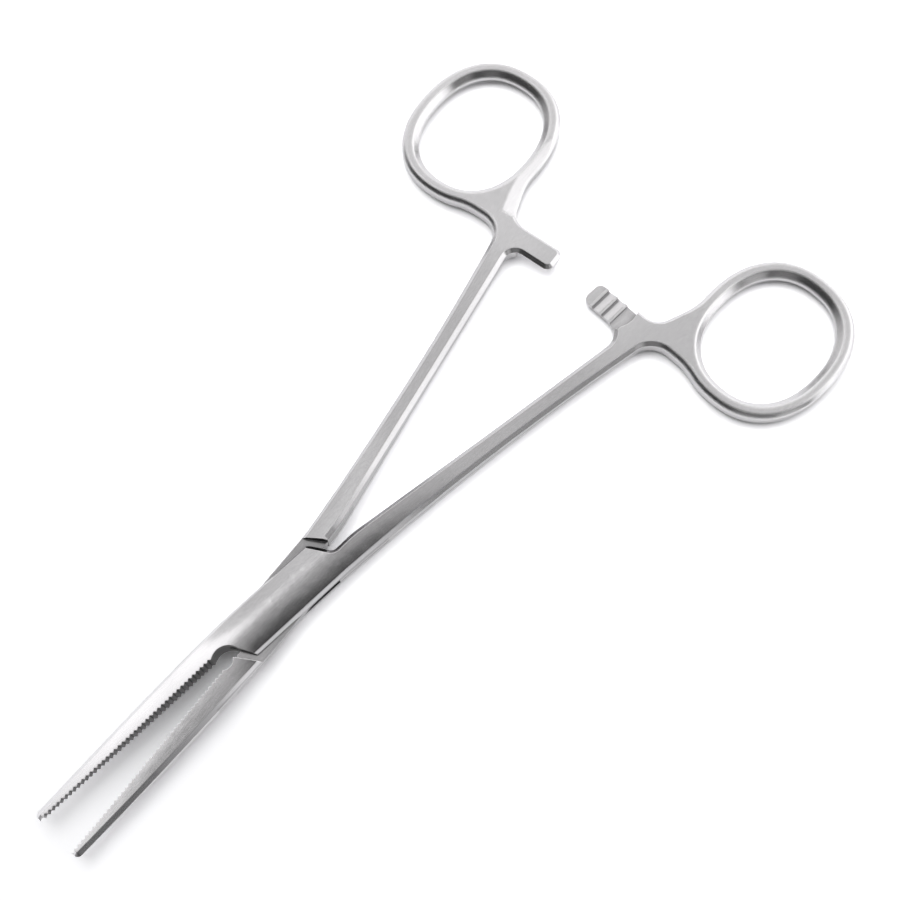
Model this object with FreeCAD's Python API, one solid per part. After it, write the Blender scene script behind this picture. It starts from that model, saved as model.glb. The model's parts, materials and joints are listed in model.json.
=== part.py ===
import FreeCAD, Part
import math
import os

V = FreeCAD.Vector

# Frame: origin on the joint axis at the underside of the box, +Y towards the jaw tips, +Z up.
# Both halves are drawn closed, as twins about X = 0, with the box half's jaw at +X.
# The tongue half is the twin turned over about Y, and then turned open.

# Driving dimensions, millimetres and degrees
rest_opening = 8.0          # angle between the halves at rest
rear_lean = 1.25            # the closed shanks lean this much off the jaws' closing line

jaw_length = 50.3           # joint axis to jaw tip
tip_width = 1.45            # one jaw, across, at its tip
tip_corner_radius = 0.8
tip_thickness = 1.6
jaw_bulge_y = 30.6          # where the jaw's back is fullest
jaw_bulge_x = 3.18
jaw_back_radius = 900       # the back bows out this gently
heel_y = 14.8               # first tooth
heel_relief_depth = 0.85    # hollow behind the first tooth
heel_gap = 0.25             # each jaw stands back this far at the heel while the tips touch
tooth_count = 43
tooth_depth = 0.36
tooth_side_clearance = 0.04  # each jaw's crests stay this far off the closing line

box_width = 8.6
box_thickness = 4.7
box_front_y = 8.7           # outer corner of the cheek's slanted jaw end
box_rear_y = 9.2            # outer corner of the cheek's slanted shank end
end_slope = 0.59            # slant of the box ends, rise over run
crotch_radius = 1.4
crown_rise = 1.03           # the box is this much higher in its middle than at its sides
shoulder_gap = 0.95         # along Y, between cheek end and shoulder when closed
rest_flat = 0.05            # ground off the box's underside

tongue_thickness = 1.5
lap_clearance = 0.08        # each face of the tongue in its slot
turn_radius = 9.9           # hidden corners of the tongue turn inside this
turn_clearance = 0.25
slot_end_gap = 0.55         # the slot runs on this far past the shoulder's face
centre_gap = 0.15           # each half stays this far off the centre line behind the box
pin_radius = 1.6
pin_clearance = 0.03

shank_root_y = 15.9
shank_inner_slope = 0.129
shank_swell_y = 1.8         # the shank leaves the box's width this far behind the cheek's corner
shank_bend_y = 40.5
shank_bend_x = 6.1
shank_bend_radius = 560     # the outer line bows out this gently
shank_outer_slope = 0.16    # from the bend to the ring's web
shank_crown_end_y = 60.0    # the crown has faded out here
neck_thickness = 3.0
soft_corner = 20            # where box and jaw flow into the shank

ring_inner_x = 13.5         # side of the ring nearest the centre line, closed
ring_front_y = 77.4         # end of the ring nearest the joint
ring_half_width = 13.6      # outside, across the tool
ring_half_length = 16.2     # outside, along the tool
ring_bar = 3.1              # width of the ring's bar
ring_fullness = 2.25        # 2 is an ellipse, more is squarer
ring_blend_radius = 12      # ring into its neck and web
web_drop = 1.5              # the web starts this far behind the ring's front
web_radius = 4.5
neck_inner_x = 10.9
neck_inner_radius = 3.5

arm_length_y = 4.8          # ratchet arm, measured along the tool
arm_lead = 0.9              # its front edge lies this far ahead of the ring's front
arm_reach_box = 2.3         # past the centre line
arm_reach_tongue = 0.5
arm_corner = 1.4
arm_crotch_box = 4.0
arm_crotch_tongue = 2.2
arm_step_x = 6.7            # where the arm drops to half thickness
arm_clearance = 0.06        # tooth crest to the middle plane
ratchet_pitch = 2.25
ratchet_depth = 0.6
ratchet_teeth = 3
ratchet_first_x = 0.1       # crest nearest the arm's tip
ratchet_steep_run = 0.12
ratchet_land = 0.3          # flat on each crest
ratchet_riser = 0.18        # short steeper face below the land, as wide as high

bevel = 0.7
ring_inner_bevel = 1.15     # the finger's side of the ring is bevelled more
scallop_width = 2.5         # wide grind on the tongue half's neck, at the ring's side
scallop_drop = 1.1
scallop_slope = 0.27
scallop_radius = 35         # its rim, in plan
scallop_start = 0.4         # behind the arm

# Derived sizes
half_box = box_width / 2
crown_radius = (half_box ** 2 + crown_rise ** 2) / (2 * crown_rise)
tall = 2 * box_thickness
ring_centre_x = ring_inner_x + ring_half_width
ring_centre_y = ring_front_y + ring_half_length
web_y = ring_front_y + web_drop
arm_front_y = ring_front_y - arm_lead
arm_rear_y = arm_front_y + arm_length_y
far = 2 * (ring_centre_y + ring_half_length)


def leaned(x, y, lean):
    """A point in plan, turned about the joint axis."""
    c, s = math.cos(math.radians(lean)), math.sin(math.radians(lean))
    return x * c - y * s, x * s + y * c


def rounded_outline(corners):
    """Closed wire in the XY plane through corners (x, y, radius), radii limited by their runs."""
    count = len(corners)
    points = [V(x, y, 0) for x, y, radius in corners]
    runs = [(points[(i + 1) % count] - points[i]).Length for i in range(count)]
    half_angles = []
    for i in range(count):
        before = points[i - 1] - points[i]
        after = points[(i + 1) % count] - points[i]
        half_angles.append(before.getAngle(after) / 2)
    wanted = [corners[i][2] / math.tan(half_angles[i]) for i in range(count)]
    setbacks = []
    for i in range(count):
        share = 1
        for neighbour, run in ((i - 1, runs[i - 1]), ((i + 1) % count, runs[i])):
            if wanted[i] + wanted[neighbour] > run:
                share = min(share, run / (wanted[i] + wanted[neighbour]))
        setbacks.append(wanted[i] * share)
    edges = []
    last_end = None
    first_start = None
    for i in range(count):
        towards_before = (points[i - 1] - points[i]).normalize()
        towards_after = (points[(i + 1) % count] - points[i]).normalize()
        start = points[i] + towards_before * setbacks[i]
        end = points[i] + towards_after * setbacks[i]
        if last_end is None:
            first_start = start
        elif (last_end - start).Length > 1e-6:
            edges.append(Part.LineSegment(last_end, start).toShape())
        if setbacks[i] > 0:
            bisector = (towards_before + towards_after).normalize()
            radius = setbacks[i] * math.tan(half_angles[i])
            middle = points[i] + bisector * (radius / math.sin(half_angles[i]) - radius)
            edges.append(Part.Arc(start, middle, end).toShape())
        last_end = end
    if (last_end - first_start).Length > 1e-6:
        edges.append(Part.LineSegment(last_end, first_start).toShape())
    return Part.Wire(edges)


def prism(wire, low, high):
    """Upright solid over a closed wire in the XY plane."""
    face = Part.Face(wire)
    face.translate(V(0, 0, low))
    return face.extrude(V(0, 0, high - low))


def block(x0, x1, y0, y1, z0, z1):
    return Part.makeBox(x1 - x0, y1 - y0, z1 - z0, V(x0, y0, z0))


def turned(shape, axis, angle):
    """A copy turned about a line through the origin."""
    result = shape.copy()
    result.rotate(V(), axis, angle)
    return result


def oval_wire(half_width, half_length, lean):
    """Smooth closed oval about the ring's centre, starting at its outermost point."""
    points = []
    steps = 32
    power = 2 / ring_fullness
    for i in range(steps):
        angle = math.pi + 2 * math.pi * i / steps
        c, s = math.cos(angle), math.sin(angle)
        x = math.copysign(abs(c) ** power, c) * half_width
        y = math.copysign(abs(s) ** power, s) * half_length
        points.append(V(*leaned(x - ring_centre_x, y - ring_centre_y, lean), 0))
    curve = Part.BSplineCurve()
    curve.interpolate(points, PeriodicFlag=True)
    return Part.Wire(curve.toShape())


def lever_outline(arm_reach, arm_crotch, lean):
    """Plan of one half without its ring: jaw towards +X, shank towards -X."""
    arm_root_x = centre_gap + (arm_front_y - shank_root_y) * shank_inner_slope
    web_corner_x = shank_bend_x + (web_y - shank_bend_y) * shank_outer_slope
    rear = [
        (-centre_gap, -shank_root_y, soft_corner),
        (-arm_root_x, -arm_front_y, arm_crotch),
        (arm_reach, -arm_front_y, arm_corner),
        (arm_reach, -arm_rear_y, arm_corner),
        (-neck_inner_x, -arm_rear_y, neck_inner_radius),
        (-ring_inner_x - ring_bar / 2, -ring_centre_y, 0),
        (-ring_centre_x, -web_y, 0),
        (-web_corner_x, -web_y, web_radius),
        (-shank_bend_x, -shank_bend_y, shank_bend_radius),
    ]
    rear = [(*leaned(x, y, lean), radius) for x, y, radius in rear]
    crotch_x = box_rear_y * math.tan(math.radians(lean)) - centre_gap
    crotch_y = box_rear_y + (half_box - crotch_x) * end_slope
    inner_end_y = box_front_y + (half_box + heel_gap) * end_slope
    front = [
        (-half_box, -box_rear_y - shank_swell_y, soft_corner),
        (-half_box, box_front_y, 0),
        (heel_gap, inner_end_y, 0),
        (heel_gap, heel_y, 0),
        (tooth_side_clearance, jaw_bulge_y, 0),
        (tooth_side_clearance, jaw_length, 0),
        (tip_width, jaw_length, tip_corner_radius),
        (jaw_bulge_x, jaw_bulge_y, jaw_back_radius),
        (half_box, box_front_y, soft_corner),
        (half_box, -box_rear_y, 0),
        (crotch_x, -crotch_y, crotch_radius),
    ]
    return rounded_outline(front + rear)


def blend(value, start, end):
    """Smooth step from 0 at start to 1 at end."""
    share = min(max((value - start) / (end - start), 0), 1)
    return (1 - math.cos(math.pi * share)) / 2


def crown_envelope(lean):
    """Barrel over jaw, box and shank root; its top is an arc across the tool."""
    first, last, count = -shank_crown_end_y, jaw_length + tip_thickness, 16
    outer_x = shank_bend_x + (shank_crown_end_y - shank_bend_y) * shank_outer_slope
    inner_x = centre_gap + (shank_crown_end_y - shank_root_y) * shank_inner_slope
    shank_middle_x, shank_middle_y = leaned(-(outer_x + inner_x) / 2, -shank_crown_end_y, lean)
    box_reach = half_box * 1.4
    shank_reach = box_reach * 1.35
    tip_reach = box_reach / 2
    nearly_flat = 40 * crown_radius
    sections = []
    for i in range(count + 1):
        y = first + (last - first) * i / count
        behind = blend(-y, box_rear_y, shank_crown_end_y)
        ahead = blend(y, box_front_y, jaw_length)
        middle = shank_middle_x * behind + tip_width / 2 * ahead
        reach = box_reach + (shank_reach - box_reach) * behind + (tip_reach - box_reach) * ahead
        radius = 1 / ((1 - behind) / crown_radius + behind / nearly_flat)
        peak = box_thickness / 2 - (box_thickness - tip_thickness) / 2 * ahead
        peak -= (box_thickness - neck_thickness) / 2 * behind
        edge = peak - radius + math.sqrt(radius ** 2 - reach ** 2)
        left, right = middle - reach, middle + reach
        corners = [V(left, y, edge), V(right, y, edge), V(right, y, -edge), V(left, y, -edge)]
        sections.append(Part.Wire([
            Part.Arc(corners[0], V(middle, y, peak), corners[1]).toShape(),
            Part.LineSegment(corners[1], corners[2]).toShape(),
            Part.Arc(corners[2], V(middle, y, -peak), corners[3]).toShape(),
            Part.LineSegment(corners[3], corners[0]).toShape(),
        ]))
    return Part.makeLoft(sections, True, False)


def wall_at(face, point):
    """True where the face stands upright."""
    u, v = face.Surface.parameter(point)
    return abs(face.normalAt(u, v).z) < 0.2


def rim_edges(solid, keep):
    """Edges between an upright wall and the top or underside, where keep says so."""
    rims = []
    for edge in solid.Edges:
        middle = edge.valueAt((edge.FirstParameter + edge.LastParameter) / 2)
        walls = [wall_at(face, middle) for face in solid.ancestorsOfType(edge, Part.Face)]
        if len(walls) == 2 and walls[0] != walls[1] and keep(middle):
            rims.append(edge)
    return rims


def ring_corners(solid, oval, lean):
    """The upright edges where neck and web meet the ring's outside."""
    found = []
    outermost = V(*leaned(-ring_centre_x - ring_half_width, -ring_centre_y, lean), 0)
    for edge in solid.Edges:
        foot = V(edge.Vertexes[0].X, edge.Vertexes[0].Y, 0)
        upright = edge.BoundBox.ZLength > tall
        on_oval = upright and oval.distToShape(Part.Vertex(foot))[0] < 1e-4
        if on_oval and (foot - outermost).Length > ring_bar:
            found.append(edge)
    return found


def mended(shape):
    """The same solid, with crossing or badly turned wires put right where it has any."""
    if not shape.isValid():
        shape.fix(1e-5, 1e-6, 1e-3)
    return shape


def bevelled_blank(arm_reach, arm_crotch, lean):
    """One half at full thickness, closed, with its rims bevelled."""
    outline = prism(lever_outline(arm_reach, arm_crotch, lean), -tall, tall)
    oval = oval_wire(ring_half_width, ring_half_length, lean)
    plan = outline.fuse(prism(oval, -tall, tall)).removeSplitter()
    plan = plan.makeFillet(ring_blend_radius, ring_corners(plan, oval, lean))
    hole = oval_wire(ring_half_width - ring_bar, ring_half_length - ring_bar, lean)
    plan = plan.cut(prism(hole, -tall, tall))
    joint_y = -shank_crown_end_y
    low = neck_thickness / 2
    front = plan.common(crown_envelope(lean)).Solids[0]
    rear = plan.common(block(-far, far, -far, joint_y, -low, low)).Solids[0]

    def front_rim(point):
        on_tooth_side = point.y > box_front_y and point.x < tip_width - tip_corner_radius / 2
        return point.y > joint_y + 0.01 and not on_tooth_side

    def on_hole(point):
        return hole.distToShape(Part.Vertex(V(point.x, point.y, 0)))[0] < ring_bar / 2

    def rear_rim(point):
        return point.y < joint_y - 0.01 and not on_hole(point)

    front = mended(front.makeChamfer(bevel, rim_edges(front, front_rim)))
    rear = mended(rear.makeChamfer(ring_inner_bevel, rim_edges(rear, on_hole)))
    rear = mended(rear.makeChamfer(bevel, rim_edges(rear, rear_rim)))
    return mended(front.fuse(rear).removeSplitter())


def jaw_face_x(y):
    """Inner face of the jaw, which stands back a little towards its heel."""
    share = min(max((jaw_bulge_y - y) / (jaw_bulge_y - heel_y), 0), 1)
    return tooth_side_clearance + (heel_gap - tooth_side_clearance) * share


def tooth_comb():
    """Grooves across the jaw's inner face, one prism with a zigzag edge."""
    pitch = (jaw_length - heel_y) / tooth_count
    outside_x = -half_box
    points = [V(outside_x, heel_y, 0)]
    for i in range(tooth_count):
        start = heel_y + i * pitch
        middle = start + pitch / 2
        points.append(V(jaw_face_x(start), start, 0))
        points.append(V(jaw_face_x(middle) + tooth_depth, middle, 0))
    points.append(V(jaw_face_x(jaw_length), jaw_length, 0))
    points.append(V(outside_x, jaw_length, 0))
    return prism(Part.makePolygon(points + [points[0]]), -tall, tall)


def heel_hollow(rear_y):
    """Round hollow behind the first tooth."""
    half = (heel_y - rear_y) / 2
    depth = heel_relief_depth - heel_gap
    radius = (half ** 2 + depth ** 2) / (2 * depth)
    return Part.makeCylinder(radius, 2 * tall, V(heel_gap + depth - radius, heel_y - half, -tall))


def ratchet_cut(arm_reach, lean):
    """All that is cut from above the arm: half its thickness, and the hooks."""
    top = -arm_clearance
    floor = top - ratchet_depth
    crests = [ratchet_first_x - i * ratchet_pitch for i in range(ratchet_teeth)]
    root_x = crests[-1] - ratchet_steep_run
    end_x = arm_reach + arm_corner
    points = [V(-arm_step_x, 0, tall), V(-arm_step_x, 0, floor)]
    for crest in reversed(crests):
        points.append(V(crest - ratchet_steep_run, 0, floor))
        points.append(V(crest, 0, top))
        points.append(V(crest + ratchet_land, 0, top))
        points.append(V(crest + ratchet_land + ratchet_riser, 0, top - ratchet_riser))
    points.append(V(end_x, 0, top - ratchet_riser))
    points.append(V(end_x, 0, tall))
    hooks = Part.Face(Part.makePolygon(points + [points[0]]))
    hooks.translate(V(0, -arm_rear_y - bevel, 0))
    hooks = hooks.extrude(V(0, arm_length_y + 2 * bevel, 0))
    step_radius = arm_length_y
    middle_y = -(arm_front_y + arm_rear_y) / 2
    bulge = step_radius - math.sqrt(step_radius ** 2 - (arm_length_y / 2) ** 2)
    step = Part.makeCylinder(step_radius, 2 * tall, V(step_radius - arm_step_x - bulge, middle_y, floor))
    step = step.common(block(-far, root_x, -far, far, floor, tall))
    return turned(hooks.fuse(step), V(0, 0, 1), lean)


def neck_scallop(lean):
    """Wide conical grind along the neck, on both faces, between arm and ring."""
    run = scallop_drop / scallop_slope
    centre_x = scallop_radius - scallop_width - ring_inner_x
    foot = V(centre_x, -ring_centre_y, neck_thickness / 2 - scallop_drop)
    grind = Part.makeCone(scallop_radius - run, scallop_radius + run, 2 * scallop_drop, foot)
    grind = grind.common(block(-far, far, -far, -arm_rear_y - scallop_start, 0, tall))
    return turned(grind.fuse(grind.mirror(V(), V(0, 0, 1))), V(0, 0, 1), lean)


def lap_plan(radius, overlap):
    """Room of the tongue: a disc about the axis, and the strips that lead out of the box."""
    disc = Part.makeCylinder(radius, 2 * tall, V(0, 0, -tall))
    ahead = block(-far, overlap, 0, far, -tall, tall)
    behind = block(-overlap, far, -far, 0, -tall, tall)
    return disc.fuse([ahead, turned(behind, V(0, 0, 1), rear_lean)])


def slanted_lap(extra):
    """Plan between the box's two slanted ends, moved out by extra along the tool."""
    wide = 4 * box_width
    front = box_front_y + extra
    rear = box_rear_y + extra
    points = [
        V(-wide, front + (half_box - wide) * end_slope, 0),
        V(wide, front + (half_box + wide) * end_slope, 0),
        V(wide, -rear + (wide - half_box) * end_slope, 0),
        V(-wide, -rear - (wide + half_box) * end_slope, 0),
    ]
    return prism(Part.makePolygon(points + [points[0]]), -tall, tall)


def slab(half_height):
    return block(-far, far, -far, far, -half_height, half_height)


def pin(radius):
    return Part.makeCylinder(radius, 2 * tall, V(0, 0, -tall))


def make_box_half():
    """Jaw, box with its slot, shank, ring and lower ratchet arm in one forging."""
    half = bevelled_blank(arm_reach_box, arm_crotch_box, rear_lean)
    hollow = heel_hollow(box_front_y + (half_box + heel_gap) * end_slope)
    half = half.cut([tooth_comb(), hollow, ratchet_cut(arm_reach_box, rear_lean)])
    slot = lap_plan(turn_radius + turn_clearance, centre_gap)
    slot = slot.common(slab(tongue_thickness / 2 + lap_clearance))
    slot = slot.common(slanted_lap(shoulder_gap + slot_end_gap))
    return half.cut([slot, pin(pin_radius)])


def make_tongue_half():
    """Jaw, thin tongue between two shoulders, shank, ring and upper ratchet arm."""
    half = bevelled_blank(arm_reach_tongue, arm_crotch_tongue, -rear_lean)
    hollow = heel_hollow(box_front_y + shoulder_gap + half_box * end_slope)
    arm_cut = ratchet_cut(arm_reach_tongue, -rear_lean)
    half = half.cut([tooth_comb(), hollow, arm_cut, neck_scallop(-rear_lean)])
    half = turned(half, V(0, 1, 0), 180)
    tongue = lap_plan(turn_radius, -centre_gap).common(slab(tongue_thickness / 2))
    half = half.cut(slanted_lap(shoulder_gap).cut(tongue))
    half = half.cut(pin(pin_radius + pin_clearance))
    return turned(half, V(0, 0, 1), rest_opening)


def make_joint_pin():
    """Rivet, ground flush with both cheeks."""
    return pin(pin_radius).common(crown_envelope(rear_lean))


def finished(shape):
    """Underside of the box ground flat and set on Z = 0."""
    rest_z = -box_thickness / 2 + rest_flat
    flat = shape.common(block(-far, far, -far, far, rest_z, tall))
    flat.translate(V(0, 0, -rest_z))
    solids = flat.removeSplitter().Solids
    if len(solids) != 1:
        raise ValueError("a piece fell apart into %d solids" % len(solids))
    return solids[0]


os.makedirs("parts", exist_ok=True)
nodes = {
    "box_half": make_box_half(),
    "tongue_half": make_tongue_half(),
    "joint_pin": make_joint_pin(),
}
for name, shape in nodes.items():
    solid = finished(shape)
    solid.exportStep("parts/%s.step" % name)
    print(name, "valid:", solid.isValid(), "volume %.1f" % solid.Volume)
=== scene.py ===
import json
import math
from collections import namedtuple

import bpy
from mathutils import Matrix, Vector

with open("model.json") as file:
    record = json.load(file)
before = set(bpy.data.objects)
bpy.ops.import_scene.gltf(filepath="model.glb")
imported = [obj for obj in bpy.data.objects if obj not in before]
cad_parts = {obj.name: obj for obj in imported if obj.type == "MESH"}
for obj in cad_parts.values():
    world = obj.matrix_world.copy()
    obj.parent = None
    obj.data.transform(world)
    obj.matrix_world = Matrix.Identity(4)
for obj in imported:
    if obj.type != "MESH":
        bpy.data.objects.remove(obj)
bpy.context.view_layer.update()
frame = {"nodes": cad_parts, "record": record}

scene = bpy.context.scene
scene.view_settings.view_transform = "Standard"

# The halves stand open at rest by as much as the joint can still close. Its place is at the
# middle of their height.
box_lock = frame["record"]["behaviour"]["joints"][0]
REST_OPENING = math.radians(-box_lock["range_deg"][0])
MIDDLE_HEIGHT = box_lock["pos_m"][2]

# The view: what is in its middle, how far off, and how far off straight down
MIDDLE = Vector((-0.0002, -0.0387, MIDDLE_HEIGHT))
DISTANCE = 0.2169
TILT = math.radians(20.4)
# The picture's own directions along the floor: its right and its top
HEADING = math.radians(-134.25)
PICTURE_RIGHT = Vector((math.cos(HEADING), math.sin(HEADING), 0))
PICTURE_UP = Vector((-math.sin(HEADING), math.cos(HEADING), 0))


def towards(right, up, height):
    """An arrow given along the picture's directions."""
    return PICTURE_RIGHT * right + PICTURE_UP * up + Vector((0, 0, height))


def add_camera():
    data = bpy.data.cameras.new("photo_camera")
    data.lens = 50
    data.sensor_width = 36
    data.clip_start = 0.01
    data.clip_end = 20
    camera = bpy.data.objects.new("photo_camera", data)
    scene.collection.objects.link(camera)
    camera.location = MIDDLE + towards(0, -DISTANCE * math.sin(TILT), DISTANCE * math.cos(TILT))
    camera.rotation_euler = (TILT, 0, HEADING)
    scene.camera = camera


class Nodes:
    """Short spelling for building a node tree."""

    def __init__(self, tree):
        self.tree = tree
        tree.nodes.clear()

    def add(self, kind, inputs=None, **settings):
        node = self.tree.nodes.new(kind)
        for name, value in settings.items():
            setattr(node, name, value)
        for name, value in (inputs or {}).items():
            if isinstance(value, bpy.types.NodeSocket):
                self.tree.links.new(value, node.inputs[name])
            else:
                node.inputs[name].default_value = value
        return node

    def math(self, operation, *values):
        return self.add("ShaderNodeMath", dict(enumerate(values)), operation=operation).outputs[0]

    def vector_math(self, operation, *values):
        inputs = dict(enumerate(values))
        return self.add("ShaderNodeVectorMath", inputs, operation=operation).outputs

    def product(self, first, *others):
        result = first
        for other in others:
            result = self.math("MULTIPLY", result, other)
        return result

    def absolute(self, value):
        return self.math("ABSOLUTE", value)

    def dot(self, one, other):
        return self.vector_math("DOT_PRODUCT", one, other)["Value"]

    def xyz(self, vector):
        return self.add("ShaderNodeSeparateXYZ", {0: vector}).outputs

    def range(self, value, start, end, at_start=0.0, at_end=1.0, smooth=False):
        """at_start where value is start, at_end where it is end, and no further outside them."""
        settings = {"interpolation_type": "SMOOTHSTEP"} if smooth else {}
        inputs = {
            "Value": value,
            "From Min": start,
            "From Max": end,
            "To Min": at_start,
            "To Max": at_end,
        }
        return self.add("ShaderNodeMapRange", inputs, **settings).outputs[0]

    def share(self, mask, factor):
        """1 where mask is 0, and factor where mask is 1."""
        return self.range(mask, 0.0, 1.0, 1.0, factor)

    def noise(self, vector, scale, detail):
        inputs = {"Vector": vector, "Scale": scale, "Detail": detail}
        return self.add("ShaderNodeTexNoise", inputs).outputs["Fac"]

    def backdrop_ray(self):
        """1 for the rays that meet the pale backdrop: the camera's and those through glass."""
        rays = self.add("ShaderNodeLightPath").outputs
        return self.math("MAXIMUM", rays["Is Camera Ray"], rays["Is Transmission Ray"])

    def glossy_ray(self):
        return self.add("ShaderNodeLightPath").outputs["Is Glossy Ray"]


# What the steel mirrors: a dim room that pales towards one side, and cards of light in it.
# A card lies in a direction of the picture. It is as bright as strength within the core,
# and fades to nothing at the rim, both given as cosines from its middle.
Card = namedtuple("Card", "right up height rim core strength")
ROOM_SIDE = (-0.1, 0.75, 0.45)
ROOM_FADE = (0.23, 1.0, 0.06, 0.92)
CARDS = (
    Card(0.9, 0.35, 0.1, rim=0.6, core=0.8, strength=1.5),
    Card(0.6, 0.25, 0.76, rim=0.925, core=0.98, strength=1.4),
    Card(0.0, 0.86, 0.5, rim=0.93, core=0.99, strength=1.4),
    Card(-0.42, 0.2, 0.885, rim=0.958, core=0.983, strength=1.45),
    Card(0.66, -0.7, 0.3, rim=0.94, core=0.99, strength=0.5),
    Card(0.0, -1.0, 0.2, rim=0.8, core=0.95, strength=0.22),
)
WHITE = (1, 1, 1, 1)


def build_world():
    world = bpy.data.worlds.new("studio")
    scene.world = world
    world.use_nodes = True
    n = Nodes(world.node_tree)
    direction = n.add("ShaderNodeTexCoord").outputs["Generated"]
    room = n.range(n.dot(direction, towards(*ROOM_SIDE).normalized()), *ROOM_FADE)
    level = n.math("MAXIMUM", n.backdrop_ray(), room)
    for card in CARDS:
        middle = towards(card.right, card.up, card.height).normalized()
        nearness = n.dot(direction, middle)
        light = n.range(nearness, card.rim, card.core, 0.0, card.strength, smooth=True)
        level = n.math("MAXIMUM", level, light)
    surface = n.add("ShaderNodeBackground", {"Color": WHITE, "Strength": level})
    n.add("ShaderNodeOutputWorld", {"Surface": surface.outputs[0]})


def add_lamp(name, spot, size, power):
    """Round soft lamp aimed at the middle of the view. The steel mirrors the room instead of it."""
    data = bpy.data.lights.new(name, "AREA")
    data.shape = "DISK"
    data.size = size
    data.energy = power
    lamp = bpy.data.objects.new(name, data)
    scene.collection.objects.link(lamp)
    lamp.location = spot
    lamp.rotation_euler = (MIDDLE - spot).to_track_quat("-Z", "Y").to_euler()
    lamp.visible_glossy = False


# The table: its plain colour, the painted light the view adds to it, rising from jaws to rings so
# that its light shadows go white, how little red and green it has, and how it shines in the steel
TABLE_COLOUR = 0.9
TABLE_PAINTED_LIGHT = (0.02, -0.03, 0.32, 1.1)
TABLE_COOLNESS = 0.985
TABLE_SHINE = 0.25
# The rings' underside stands 0.8 mm higher than the box's, so the table slopes to carry both
TABLE_REACH = 3.0
TABLE_SLOPE = -0.0074
TABLE_DROP = 0.00006


def table_material():
    material = bpy.data.materials.new("pale_table")
    material.use_nodes = True
    n = Nodes(material.node_tree)
    spot = n.add("ShaderNodeTexCoord").outputs["Object"]
    # Painted light: the camera sees the table brighter from the jaws towards the rings
    painted_light = n.range(n.xyz(spot)["Y"], *TABLE_PAINTED_LIGHT)
    pale = n.math("ADD", n.product(n.backdrop_ray(), painted_light), TABLE_COLOUR)
    cool = n.product(pale, TABLE_COOLNESS)
    colour = n.add("ShaderNodeCombineColor", {"Red": cool, "Green": cool, "Blue": pale})
    diffuse = n.add("ShaderNodeBsdfDiffuse", {"Color": colour.outputs[0]})
    shine = n.product(n.glossy_ray(), TABLE_SHINE)
    glow = n.add("ShaderNodeEmission", {"Color": WHITE, "Strength": shine})
    both = n.add("ShaderNodeAddShader", {0: diffuse.outputs[0], 1: glow.outputs[0]})
    n.add("ShaderNodeOutputMaterial", {"Surface": both.outputs[0]})
    return material


def add_table():
    corners = [(-1, -1), (1, -1), (1, 1), (-1, 1)]
    points = [(x * TABLE_REACH, y * TABLE_REACH) for x, y in corners]
    mesh = bpy.data.meshes.new("table_top")
    mesh.from_pydata([(x, y, y * TABLE_SLOPE - TABLE_DROP) for x, y in points], [], [(0, 1, 2, 3)])
    mesh.materials.append(table_material())
    table = bpy.data.objects.new("table_top", mesh)
    scene.collection.objects.link(table)


# Places on a half, in metres. A y runs along it from the joint, jaws ahead, and an x across it
# from its closing line. In a pair, a look is off at the first place and full at the second.
RING_Y = (-0.07, -0.08)
RING_X = (0.0115, 0.0145)
RING_HIGHLIGHT_Y = (-0.064, -0.078)
RING_SHADE_Y = (-0.075, -0.076)
BOX_END_Y = (0.0165, 0.016)
TONGUE_Y = 0.02
TONGUE_HALF_THICKNESS = 0.001
TEETH_X = (0.0012, 0.001)
TEETH_ROOT_Y = (0.0085, 0.0095)
TEETH_TIP_Y = (0.0498, 0.0492)
JAW_HIGHLIGHT_Y = (0.005, 0.014)
JAW_FLAT_Y = (0.008, 0.016)
JAW_RIM_Y = (0.012, 0.02)
RIM_SHADE_Y = (-0.028, -0.02)
# How far a face looks up or along the half, as a part of 1, in pairs of the same kind
WALL_UP = (0.4, 0.25)
CROWN_UP = (0.88, 0.92)
BEVEL_UP_LEAST = (0.5, 0.6)
BEVEL_UP_MOST = (0.88, 0.82)
END_ALONG = (0.5, 0.6)

# Softened edges: radius on the rings and on the rest, the reach round the pin's axis that has
# none, and the cosine between softened and plain normal, from a face to an edge
RING_EDGE = 0.0008
CRISP_EDGE = 0.00018
PIN_REACH = 0.0022
EDGE_COSINE = (0.995, 0.93)
# Painted shade where other surfaces stand close: how near something has to be, the openness from
# no shelter to full, and the most that the painted shade darkens faces, walls and rings
SHADE_REACH = 0.0018
OPEN_AIR = (0.9, 0.25)
FACE_SHADE = 0.3
WALL_SHADE = 0.7
RING_SHADE = 0.8

# Tones: the metal's own, from the dark to the light of its grain, the clouds added to it, the
# factors of painted highlight on jaws and rings and of painted shade on bevel rims, the tongue
# and cut walls, the painted highlight added on edges, and the share of green
GRAIN_TONE = (0.57, 0.67)
CLOUD_TONE = (-0.03, 0.03)
JAW_HIGHLIGHT = 1.25
RING_HIGHLIGHT = 1.2
RIM_SHADE = 0.7
JAW_RIM_SHADE = 0.55
TONGUE_SHADE = 0.75
MACHINED_SHADE = 0.2
EDGE_HIGHLIGHT = 0.3
GREEN_SHARE = 0.985
# Roughness: the metal's own, and what machined walls and edges add to it
GRAIN_ROUGHNESS = (0.17, 0.25)
MACHINED_ROUGHNESS = 0.2
EDGE_ROUGHNESS = 0.25
# Grain: repeats in a metre across, along and up, and how its stripes and specks are mixed
GRAIN_SCALE = (5200, 700, 1600)
SPECKLE_SCALE = 4200.0
CLOUD_SCALE = 90.0
STRIPE_SHARE = 0.55
NOISE_SPAN = (0.3, 0.7)
GRAIN_STRENGTH = 0.12
GRAIN_DEPTH = 0.00003
# How far the crown of the jaws is ground flat, from 0 to 1
JAW_FLATNESS = 0.65
RAY_SAMPLES = 6

Spot = namedtuple("Spot", "along x y z face_x face_y face_z")


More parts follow.
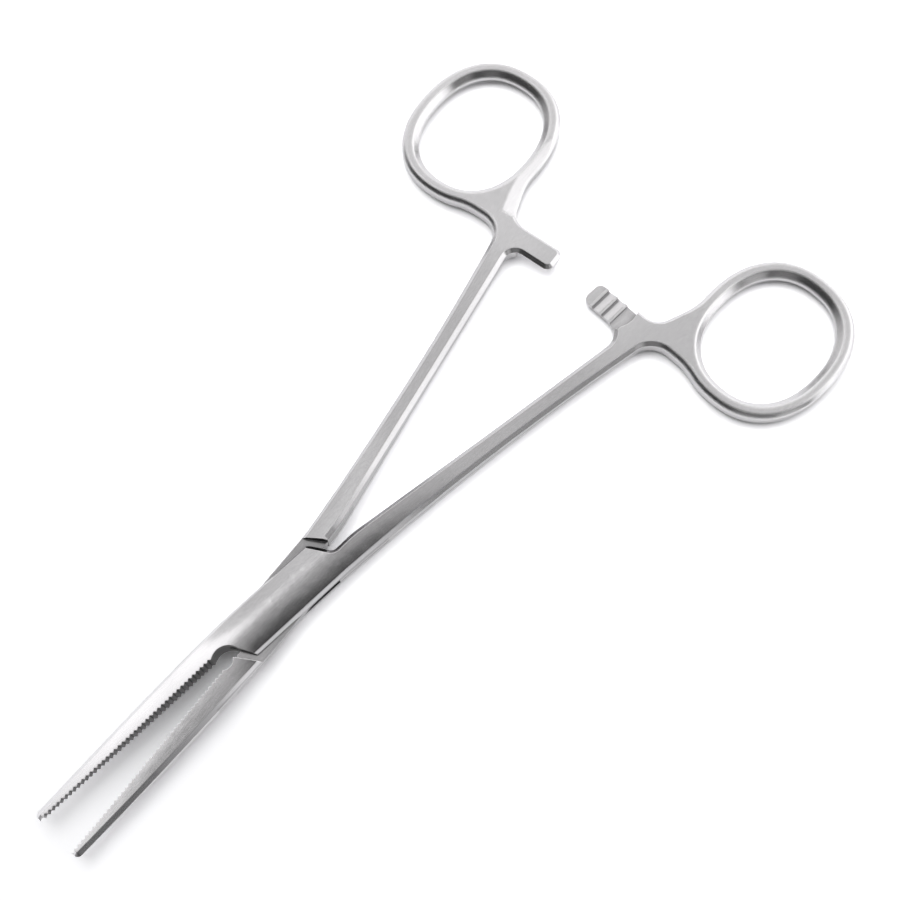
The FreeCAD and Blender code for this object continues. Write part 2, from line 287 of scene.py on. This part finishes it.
def spot_on_half(n, turn):
    """Where a point is and which way it faces, turned back so that its half lies along y."""
    surface = n.add("ShaderNodeTexCoord").outputs
    back = (0, 0, -turn)
    along = n.add("ShaderNodeMapping", {"Vector": surface["Object"], "Rotation": back}).outputs[0]
    facing = n.add("ShaderNodeMapping", {"Vector": surface["Normal"], "Rotation": back}).outputs[0]
    return Spot(along, *n.xyz(along), *n.xyz(facing))


def softened(n, spot):
    """The normal with softened edges, and 1 on an edge to 0 on a plain face."""
    ring = n.product(n.range(spot.y, *RING_Y), n.range(n.absolute(spot.x), *RING_X))
    radius = n.range(ring, 0.0, 1.0, CRISP_EDGE, RING_EDGE)
    squares = n.math("ADD", n.product(spot.x, spot.x), n.product(spot.y, spot.y))
    beyond_pin = n.math("GREATER_THAN", n.math("SQRT", squares), PIN_REACH)
    inputs = {"Radius": n.product(radius, beyond_pin)}
    rounded = n.add("ShaderNodeBevel", inputs, samples=RAY_SAMPLES).outputs[0]
    plain = n.add("ShaderNodeNewGeometry").outputs["Normal"]
    return rounded, n.range(n.dot(rounded, plain), *EDGE_COSINE)


def machined_and_shaded_part(n, spot, wall):
    """1 on walls a cutter left rough, tooth rows and the slanted ends of the box, also darkened as
    painted shade.
    """
    tooth_strip = n.product(
        n.range(n.absolute(spot.x), *TEETH_X),
        n.range(spot.y, *TEETH_ROOT_Y),
        n.range(spot.y, *TEETH_TIP_Y),
    )
    box_end = n.product(
        n.range(n.absolute(spot.face_y), *END_ALONG),
        n.range(n.absolute(spot.y), *BOX_END_Y),
    )
    return n.product(wall, n.math("MAXIMUM", tooth_strip, box_end))


def painted_shade_part(n, spot, wall):
    """How far painted shade darkens a point where other surfaces stand close to it."""
    inputs = {"Distance": SHADE_REACH}
    openness = n.add("ShaderNodeAmbientOcclusion", inputs, samples=RAY_SAMPLES).outputs["AO"]
    most = n.math(
        "MAXIMUM",
        n.range(wall, 0.0, 1.0, FACE_SHADE, WALL_SHADE),
        n.range(spot.y, *RING_SHADE_Y, 0.0, RING_SHADE),
    )
    return n.product(n.range(openness, *OPEN_AIR), most)


def bevel_part(n, spot):
    """1 on the bevels of the upper side that face towards -x, which get painted shade."""
    return n.product(
        n.range(spot.face_z, *BEVEL_UP_MOST),
        n.range(spot.face_z, *BEVEL_UP_LEAST),
        n.math("LESS_THAN", spot.face_x, 0.0),
    )


def shaded_tongue_part(n, spot):
    """1 round the joint at middle height, where the thin tongue passes through the box and gets
    painted shade.
    """
    from_middle = n.absolute(n.math("SUBTRACT", spot.z, MIDDLE_HEIGHT))
    return n.product(
        n.math("LESS_THAN", from_middle, TONGUE_HALF_THICKNESS),
        n.math("LESS_THAN", n.absolute(spot.y), TONGUE_Y),
    )


def flattened(n, spot, normal):
    """The normal turned towards straight up where the crown of the jaws is ground flat."""
    along_jaws = n.range(spot.y, *JAW_FLAT_Y, 0.0, JAW_FLATNESS)
    flatness = n.product(along_jaws, n.range(spot.face_z, *CROWN_UP))
    lift = n.math("DIVIDE", flatness, n.math("SUBTRACT", 1.0, flatness))
    upwards = n.add("ShaderNodeCombineXYZ", {"Z": lift}).outputs[0]
    lifted = n.vector_math("ADD", normal, upwards)[0]
    return n.vector_math("NORMALIZE", lifted)[0]


def grain_height(n, spot):
    """Fine stripes along the half, mixed with specks."""
    inputs = {"Vector": spot.along, "Scale": GRAIN_SCALE}
    stretched = n.add("ShaderNodeMapping", inputs).outputs[0]
    stripes = n.product(n.noise(stretched, scale=1.0, detail=4.0), STRIPE_SHARE)
    specks = n.product(n.noise(spot.along, SPECKLE_SCALE, detail=3.0), 1.0 - STRIPE_SHARE)
    return n.math("ADD", stripes, specks)


def steel(name, turn):
    """Satin stainless steel: fine grain, faint clouds, rough cut walls, painted highlight on jaws,
    rings and edges, painted shade on bevel rims, the tongue, cut walls and sheltered places.

    turn is how far the half is turned at rest from lying along y.
    """
    material = bpy.data.materials.new(name)
    material.use_nodes = True
    n = Nodes(material.node_tree)
    spot = spot_on_half(n, turn)
    rounded, edge = softened(n, spot)
    wall = n.range(n.absolute(spot.face_z), *WALL_UP)
    machined_and_shaded = machined_and_shaded_part(n, spot, wall)
    painted_shade = painted_shade_part(n, spot, wall)
    bevel = bevel_part(n, spot)
    # Painted shade: the bevels facing -x are darker from the box on, and darker still on the jaws
    shaded_jaw_rim = n.product(bevel, n.range(spot.y, *JAW_RIM_Y))
    shaded_rim = n.product(bevel, n.range(spot.y, *RIM_SHADE_Y))
    # Painted highlight: a lighter tone on the jaws and the rings
    jaw_highlight = n.range(spot.y, *JAW_HIGHLIGHT_Y, 1.0, JAW_HIGHLIGHT)
    ring_highlight = n.range(spot.y, *RING_HIGHLIGHT_Y, 1.0, RING_HIGHLIGHT)
    height = grain_height(n, spot)
    clouds = n.range(n.noise(spot.along, CLOUD_SCALE, detail=3.0), *NOISE_SPAN, *CLOUD_TONE)

    tone = n.product(
        n.math("ADD", n.range(height, *NOISE_SPAN, *GRAIN_TONE), clouds),
        n.math("MAXIMUM", jaw_highlight, ring_highlight),
        n.share(shaded_rim, RIM_SHADE),
        n.share(shaded_jaw_rim, JAW_RIM_SHADE),
        # Painted shade on the tongue where it lies inside the box
        n.share(shaded_tongue_part(n, spot), TONGUE_SHADE),
    )
    # Painted highlight: a lighter tone along edges, except on the jaw rims
    tone = n.math("ADD", tone, n.product(edge, n.range(shaded_jaw_rim, 0.0, 1.0, EDGE_HIGHLIGHT, 0.0)))
    # Painted shade: darker where other surfaces stand close
    unshaded_part = n.math("SUBTRACT", 1.0, painted_shade)
    # Painted shade also darkens the cut walls, which the cutter left rough
    tone = n.product(tone, n.share(machined_and_shaded, MACHINED_SHADE), unshaded_part)
    green = n.product(tone, GREEN_SHARE)
    colour = n.add("ShaderNodeCombineColor", {"Red": tone, "Green": green, "Blue": tone})

    roughness = n.range(height, *NOISE_SPAN, *GRAIN_ROUGHNESS)
    roughness = n.math("ADD", roughness, n.product(machined_and_shaded, MACHINED_ROUGHNESS))
    roughness = n.math("ADD", roughness, n.product(edge, EDGE_ROUGHNESS))
    bump = n.add("ShaderNodeBump", {
        "Strength": GRAIN_STRENGTH,
        "Distance": GRAIN_DEPTH,
        "Height": height,
        "Normal": flattened(n, spot, rounded),
    })
    skin = n.add("ShaderNodeBsdfPrincipled", {
        "Base Color": colour.outputs[0],
        "Metallic": 1.0,
        "Roughness": roughness,
        "Normal": bump.outputs[0],
    })
    n.add("ShaderNodeOutputMaterial", {"Surface": skin.outputs[0]})
    return material


def dress(node, material):
    slots = frame["nodes"][node].data.materials
    for i in range(len(slots)):
        slots[i] = material


add_camera()
build_world()
add_lamp("window", MIDDLE + towards(-0.25, 0.35, 1.0), size=1.4, power=6.0)
add_table()
dress("box_half", steel("satin_steel_skin", 0.0))
dress("tongue_half", steel("satin_steel_turned_skin", REST_OPENING))
dress("joint_pin", steel("pin_steel_skin", 0.0))
